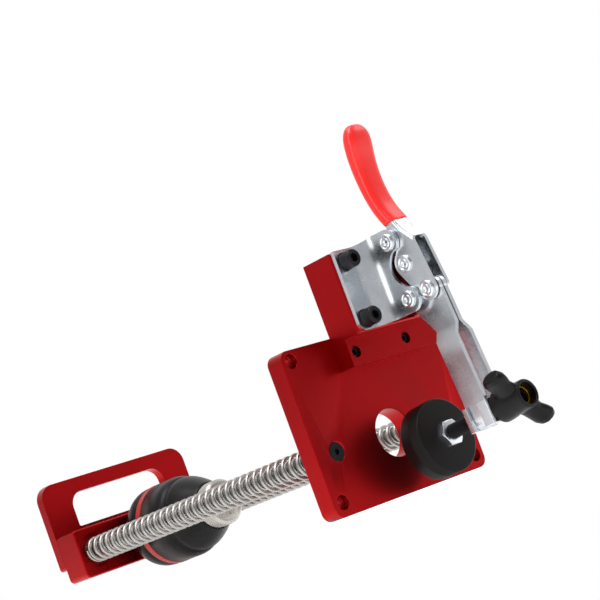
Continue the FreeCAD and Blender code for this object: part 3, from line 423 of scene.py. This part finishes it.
# --------------------------------------------------------------------- rivets and sleeves
# Steel rivets with a spun head: a rolled rim, a ring groove and a dimple in the middle. Sleeves
# keep the layers apart on the two that go through the cheeks.
HEAD = [(0.0, 0.0), (0.0, 4.5), (0.45, 4.62), (0.95, 4.45), (1.25, 3.95), (1.3, 3.5), (1.2, 3.15),
        (0.95, 2.95), (0.8, 2.7), (0.85, 2.45), (1.1, 2.2), (1.22, 1.9), (1.18, 1.55), (0.95, 1.3),
        (0.7, 0.9), (0.62, 0.0)]
RIVET_R = 3.0
CHEEK_OUT = 8.2
CHANNEL_OUT = 5.6
CHANNEL_IN = 3.7
OUT_LEFT = Matrix.Rotation(math.radians(90), 4, "Z")
OUT_RIGHT = Matrix.Rotation(math.radians(-90), 4, "Z")


def rivet(pivot, half_width, inner=0.0):
    """A rivet on a (y, z) pivot with a head on each side; inner leaves the middle free."""
    pieces = []
    for side, out in ((-1, OUT_LEFT), (1, OUT_RIGHT)):
        head_at = at(CLAMP_X + side * half_width, *pivot) @ out
        pieces.append(moved(turned(HEAD, 40), head_at))
        reach = inner - half_width
        shank = [(0.05, 0.0), (0.05, RIVET_R), (reach, RIVET_R), (reach, 0.0)]
        pieces.append(moved(turned(shank, 32), head_at))
    return joined(pieces)


# the four pivots of the toggle linkage, as (y, z) in mm
BASE_LINK = (-41.2, 91.1)
LINK_HANDLE = (-45.6, 77.6)
HANDLE_ARM = (-53.8, 61.0)
BASE_ARM = (-41.5, 60.0)
finished("link-pin", rivet(BASE_LINK, CHEEK_OUT), zinc_steel, "base", ["link_pin"], 45)
finished("arm-pin", rivet(BASE_ARM, CHEEK_OUT), zinc_steel, "base", ["arm_pin"], 45)
finished("handle-arm-pin", rivet(HANDLE_ARM, CHANNEL_OUT), zinc_steel, "clamp_handle",
         ["handle_arm_pin"], 45)
finished("handle-link-rivets", rivet(LINK_HANDLE, CHANNEL_OUT, CHANNEL_IN), zinc_steel, "clamp_handle",
         ["handle_link_rivets"], 45)
edged_copy("link_pin_sleeves", zinc_steel, "base", 0.2)
edged_copy("arm_pin_sleeves", zinc_steel, "base", 0.2)

# --------------------------------------------------------------------- link, arm and handle channel
# The moving steel of the clamp: a short link inside, an arm of flat strap folded into a long U,
# and a pressed channel that the grip is dipped on. All zinc plated, with sheared edges rolled.
edged_copy("clamp_link", zinc_steel, "clamp_link", 0.3)
edged_copy("clamp_arm", zinc_steel, "clamp_arm", 0.4, 3)
edged_copy("handle_channel", zinc_steel, "clamp_handle", 0.45, 3)

# --------------------------------------------------------------------- grip
# The handle's end is dipped in soft vinyl: one thick glossy red skin over the steel, flat and
# curved like an S, that swells to a round end. Its lower edge is cut square.
# (front y, front z, rear y, rear z, half width) down the grip, in mm
GRIP_SECTIONS = [(-49.1, 100.7, -41.2, 98.6, 7.1), (-49.0, 101.0, -41.0, 99.0, 7.3),
                 (-46.5, 105.5, -38.5, 103.6, 7.3), (-44.2, 111.0, -36.2, 109.6, 7.25),
                 (-42.7, 118.0, -34.3, 117.2, 7.2), (-42.0, 127.0, -33.0, 127.0, 7.3),
                 (-42.4, 136.0, -33.0, 136.2, 7.75), (-43.9, 143.0, -33.8, 144.0, 8.2),
                 (-44.7, 148.6, -35.2, 150.0, 8.2), (-43.9, 152.8, -37.0, 154.0, 6.6),
                 (-42.2, 155.7, -39.4, 156.1, 3.6)]
# how square a section is: 2 would be an ellipse
SQUARENESS = 3.2
# Vinyl, dipped: thick, soft and glossy, so it glows a little and takes clear wide highlights.
red_vinyl, tree = blank_finish("vinyl, dipped, red")
place = add(tree, "TexCoord", {})
flow = add(tree, "TexNoise", {"Scale": 1 / (14 * MM), "Detail": 1.0}, {"Vector": place.outputs["Object"]})
sag = add(tree, "Bump", {"Strength": 0.15, "Distance": 0.4 * MM}, {"Height": flow.outputs["Fac"]})
skin = add(tree, "BsdfPrincipled",
           {"Base Color": linear("e3170f"), "Roughness": 0.3, "IOR": 1.5, "Subsurface Weight": 0.12,
            "Subsurface Radius": (0.003, 0.0006, 0.0004), "Coat Weight": 0.25, "Coat Roughness": 0.2},
           {"Normal": sag.outputs["Normal"]})
add(tree, "OutputMaterial", {}, {"Surface": skin.outputs["BSDF"]})


def grip_frame(front_y, front_z, rear_y, rear_z, half_width):
    """Where a unit ring in XY goes for one section of the grip."""
    centre = Vector((CLAMP_X, (front_y + rear_y) / 2, (front_z + rear_z) / 2)) * MM
    across = Vector((0, rear_y - front_y, rear_z - front_z)) * MM / 2
    matrix = Matrix.Identity(4)
    matrix.col[0][:3] = (half_width * MM, 0, 0)
    matrix.col[1][:3] = across
    matrix.col[2][:3] = Vector((0, -across.z, across.y)).normalized() * MM
    matrix.col[3][:3] = centre
    return matrix


bm = bmesh.new()
bmesh.ops.create_circle(bm, cap_ends=False, radius=1.0, segments=28)
for v in bm.verts:
    stretch = (abs(v.co.x) ** SQUARENESS + abs(v.co.y) ** SQUARENESS) ** (-1 / SQUARENESS)
    v.co = v.co * stretch
verts = bm.verts[:]
edges = bm.edges[:]
there = grip_frame(*GRIP_SECTIONS[0])
bmesh.ops.transform(bm, matrix=there, verts=verts)
for section in GRIP_SECTIONS[1:]:
    grown = bmesh.ops.extrude_edge_only(bm, edges=edges)["geom"]
    verts = [g for g in grown if isinstance(g, bmesh.types.BMVert)]
    edges = [g for g in grown if isinstance(g, bmesh.types.BMEdge)]
    bmesh.ops.transform(bm, matrix=grip_frame(*section) @ there.inverted(), verts=verts)
    there = grip_frame(*section)
bmesh.ops.holes_fill(bm, edges=bm.edges, sides=0)
bmesh.ops.recalc_face_normals(bm, faces=bm.faces)
grip = finished("handle-grip", bm, red_vinyl, "clamp_handle", ["handle_grip"], 180)
rounder = grip.modifiers.new("smooth skin", "SUBSURF")
rounder.levels = 2
rounder.render_levels = 2

# --------------------------------------------------------------------- saddles
# Two washers with folded lips, pressed from zinc-plated sheet, hug the strap's edges, one in front
# and one behind. They slide along it with the spindle and are held by the wing knob.
edged_copy("saddle_front", zinc_steel, "saddle", 0.35, 3)
edged_copy("saddle_rear", zinc_steel, "saddle", 0.35, 3)

# --------------------------------------------------------------------- spindle and pad nut
# An M8 stud, blackened, that carries the pad, with a zinc-plated nut locked against the pad.
ARM_FRAME = at(CLAMP_X, -57.9, -8.4) @ Matrix.Rotation(math.radians(-4.35), 4, "X")
THREAD_PITCH = 1.25
THREAD_R = 4.0
THREAD_DEPTH = 0.62
SPINDLE_FROM = -22.2
SPINDLE_TO = 35.8


def threaded(start, end, radius, depth, pitch, around=28):
    """A thread's skin along Y: one V carried round the axis, a pitch further each turn."""
    bm = bmesh.new()
    root = radius - depth
    vee = [(0.0, root), (0.12, root), (0.46, radius), (0.58, radius), (0.92, root), (1.0, root)]
    points = [bm.verts.new((r * MM, (start + share * pitch) * MM, 0)) for share, r in vee]
    edges = [bm.edges.new(pair) for pair in zip(points, points[1:])]
    turns = round((end - start) / pitch) - 1
    bmesh.ops.spin(bm, geom=points + edges, cent=(0, 0, 0), axis=(0, 1, 0),
                   dvec=(0, pitch * MM / around, 0), angle=math.tau * turns, steps=around * turns,
                   use_merge=False)
    bmesh.ops.remove_doubles(bm, verts=bm.verts, dist=2e-6)
    bmesh.ops.holes_fill(bm, edges=bm.edges, sides=0)
    bmesh.ops.recalc_face_normals(bm, faces=bm.faces)
    return bm


stud = threaded(SPINDLE_FROM, SPINDLE_TO, THREAD_R, THREAD_DEPTH, THREAD_PITCH)
finished("spindle", moved(stud, ARM_FRAME), black_oxide, "spindle", ["spindle"], 25)
edged_copy("pad_nut", zinc_steel, "spindle", 0.15)

# --------------------------------------------------------------------- pad
# A thick round rubber pad moulded on the end of the stud. It presses the work against the
# base plate; its edges are softly rounded and it has a thin mould line round the middle.
PAD_PROFILE = [(31.8, 0.0), (31.8, 18.6), (31.9, 19.3), (32.25, 19.75), (32.8, 20.0), (38.8, 20.0),
               (38.95, 20.05), (39.1, 20.0), (45.3, 20.0), (45.85, 19.75), (46.2, 19.2), (46.3, 18.5),
               (46.3, 0.0)]
# Moulded rubber: a dull black with a faint powdery grain. The warm brown in its colour is partly the
# rubber's own warmth and partly a painted reflection of a wooden board beside the pad.
black_rubber, tree = blank_finish("rubber, moulded, black")
place = add(tree, "TexCoord", {})
# the bloom is finer than 0.2 mm; it is drawn at 0.6 mm so that it shows
bloom = add(tree, "TexNoise", {"Scale": 1 / (0.6 * MM), "Detail": 3.0}, {"Vector": place.outputs["Object"]})
# the browner of these two colours carries the painted reflection of the wood, spread through the grain
tint = add(tree, "Mix", {"data_type": "RGBA", 6: linear("0d0c0c"), 7: linear("15110f")},
           {0: bloom.outputs["Fac"]})
grain = add(tree, "Bump", {"Strength": 0.2, "Distance": 0.04 * MM}, {"Height": bloom.outputs["Fac"]})
skin = add(tree, "BsdfPrincipled", {"Roughness": 0.45, "Specular IOR Level": 0.15},
           {"Base Color": tint.outputs[2], "Normal": grain.outputs["Normal"]})
add(tree, "OutputMaterial", {}, {"Surface": skin.outputs["BSDF"]})
finished("pad", moved(turned(PAD_PROFILE, 96), ARM_FRAME), black_rubber, "spindle",
         ["pad"], 60)

# --------------------------------------------------------------------- wing knob
# A moulded nylon wing nut on the stud's front end, with a brass insert that holds the thread.
# The stud's end shows inside its open mouth. The wings lean forward and end in fat round ears.
HUB = [(-9.5, 5.65), (-9.5, 8.5), (-10.3, 8.7), (-14.0, 8.45), (-18.5, 7.9), (-24.0, 7.6), (-28.4, 7.5),
       (-29.0, 7.2), (-29.2, 6.8), (-29.2, 6.0), (-28.8, 5.65)]
# (radial, y from, y to, half thickness) out along a wing
WING_SECTIONS = [(6.2, -28.6, -12.5, 3.6), (10.5, -27.5, -14.0, 3.4), (14.0, -28.8, -14.5, 3.8),
                 (17.0, -29.1, -15.0, 4.3), (19.6, -27.6, -17.0, 3.9)]
WING_TURN = -45.0
WING_VOXEL = 0.4 * MM


def wing():
    """One wing: a rounded bar lofted outwards from the hub along Z."""
    bm = bmesh.new()
    bmesh.ops.create_circle(bm, cap_ends=False, radius=1.0, segments=24)
    there = Matrix.Identity(4)
    edges = bm.edges[:]
    verts = bm.verts[:]
    for number, (radial, y0, y1, half) in enumerate(WING_SECTIONS):
        if number:
            grown = bmesh.ops.extrude_edge_only(bm, edges=edges)["geom"]
            verts = [g for g in grown if isinstance(g, bmesh.types.BMVert)]
            edges = [g for g in grown if isinstance(g, bmesh.types.BMEdge)]
        here = at(0, (y0 + y1) / 2, radial) @ Matrix.Diagonal((half * MM, (y1 - y0) / 2 * MM, 1, 1))
        bmesh.ops.transform(bm, matrix=here @ there.inverted(), verts=verts)
        there = here
    bmesh.ops.holes_fill(bm, edges=bm.edges, sides=0)
    bmesh.ops.recalc_face_normals(bm, faces=bm.faces)
    return bm


half_turn = Matrix.Rotation(math.pi, 4, "Y")
knob = joined([turned(HUB, 64, closed=True), wing(), moved(wing(), half_turn)])
moved(knob, ARM_FRAME @ Matrix.Rotation(math.radians(WING_TURN), 4, "Y"))
knob = finished("wing-knob", knob, black_nylon, "wing", ["wing_knob"], 180)
cast = knob.modifiers.new("one moulding", "REMESH")
cast.mode = "VOXEL"
cast.voxel_size = WING_VOXEL
cast.use_smooth_shade = True
soften = knob.modifiers.new("soft joins", "SMOOTH")
soften.factor = 0.5
soften.iterations = 9
# Brass, turned: warm yellow metal with clear lathe lines.
brass, tree = blank_finish("brass, turned")
place = add(tree, "TexCoord", {})
lines = add(tree, "TexNoise", {"Scale": 1 / (0.3 * MM), "Detail": 1.0}, {"Vector": place.outputs["Object"]})
blur = add(tree, "MapRange", {"To Min": 0.2, "To Max": 0.35}, {"Value": lines.outputs["Fac"]})
skin = add(tree, "BsdfPrincipled", {"Metallic": 1.0, "Base Color": linear("96762c")},
           {"Roughness": blur.outputs["Result"]})
add(tree, "OutputMaterial", {}, {"Surface": skin.outputs["BSDF"]})
edged_copy("knob_insert", brass, "wing", 0.3)

# --------------------------------------------------------------------- floor, light and camera
# A plain white sweep under the jig. The light is a bright studio: white all round in front, dimmer
# behind the camera, with soft boxes above and at the sides.
FLOOR_Z = -34.0 * MM
FLOOR_HALF = 12.0
LOOK = Vector((0.69274074, 0.71231263, 0.1127873))
bm = bmesh.new()
bmesh.ops.create_grid(bm, x_segments=1, y_segments=1, size=FLOOR_HALF)
bmesh.ops.translate(bm, verts=bm.verts, vec=(0, 0, FLOOR_Z))
mesh = bpy.data.meshes.new("floor")
bm.to_mesh(mesh)
bm.free()
# Matte paper, lit from all sides until it is lost in the white behind it.
paper, tree = blank_finish("paper sweep, white, matte")
skin = add(tree, "BsdfPrincipled",
           {"Base Color": linear("f6f6f6"), "Roughness": 1.0, "Specular IOR Level": 0.0,
            "Emission Color": linear("ffffff"), "Emission Strength": 0.4})
add(tree, "OutputMaterial", {}, {"Surface": skin.outputs["BSDF"]})
mesh.materials.append(paper)
floor = bpy.data.objects.new("floor", mesh)
bpy.context.scene.collection.objects.link(floor)

world = bpy.data.worlds.new("studio")
world.use_nodes = True
tree = world.node_tree
tree.nodes.clear()
way = add(tree, "TexCoord", {})
ahead = add(tree, "VectorMath", {"operation": "DOT_PRODUCT", 1: tuple(LOOK)}, {0: way.outputs["Generated"]})
share = add(tree, "MapRange", {"From Min": -1.0, "From Max": 1.0}, {"Value": ahead.outputs["Value"]})
tone = add(tree, "ValToRGB", {}, {"Fac": share.outputs["Result"]})
tone.color_ramp.elements[0].position = 0.05
tone.color_ramp.elements[0].color = (0.42, 0.42, 0.43, 1)
tone.color_ramp.elements[1].position = 0.85
tone.color_ramp.elements[1].color = (1.0, 1.0, 1.0, 1)
middle = tone.color_ramp.elements.new(0.5)
middle.color = (0.62, 0.62, 0.63, 1)
sky = add(tree, "Background", {"Strength": 1.0}, {"Color": tone.outputs["Color"]})
add(tree, "OutputWorld", {}, {"Surface": sky.outputs["Background"]})
bpy.context.scene.world = world


def soft_box(name, place, aim, size, power):
    """A rectangular lamp at place, turned to face aim, all in metres."""
    lamp = bpy.data.lights.new(name, "AREA")
    lamp.shape = "RECTANGLE"
    lamp.size, lamp.size_y = size
    lamp.energy = power
    made = bpy.data.objects.new(name, lamp)
    bpy.context.scene.collection.objects.link(made)
    made.location = place
    made.rotation_euler = (Vector(aim) - Vector(place)).to_track_quat("-Z", "Y").to_euler()
    return made


lamps = [soft_box("top box", (-0.25, -0.1, 0.95), (0, 0.08, 0.03), (0.7, 0.7), 7.0),
         soft_box("left box", (-0.95, 0.15, 0.45), (0, 0.05, 0.04), (0.35, 0.9), 2.2),
         soft_box("right box", (0.7, -0.42, 0.72), (0, -0.04, 0.07), (0.5, 0.3), 0.8)]

camera_data = bpy.data.cameras.new("camera")
camera_data.lens = 113.2
camera_data.sensor_width = 36.0
camera = bpy.data.objects.new("camera", camera_data)
bpy.context.scene.collection.objects.link(camera)
RIGHT = Vector((0.69958423, -0.62573082, -0.34502587))
UP = Vector((0.17519179, -0.31791769, 0.93179192))
stand = Matrix((RIGHT, UP, -LOOK)).transposed().to_4x4()
stand.translation = Vector((-703.0, -690.85, -29.67)) * MM
camera.matrix_world = stand
bpy.context.scene.camera = camera
bpy.context.scene.view_settings.view_transform = "Standard"
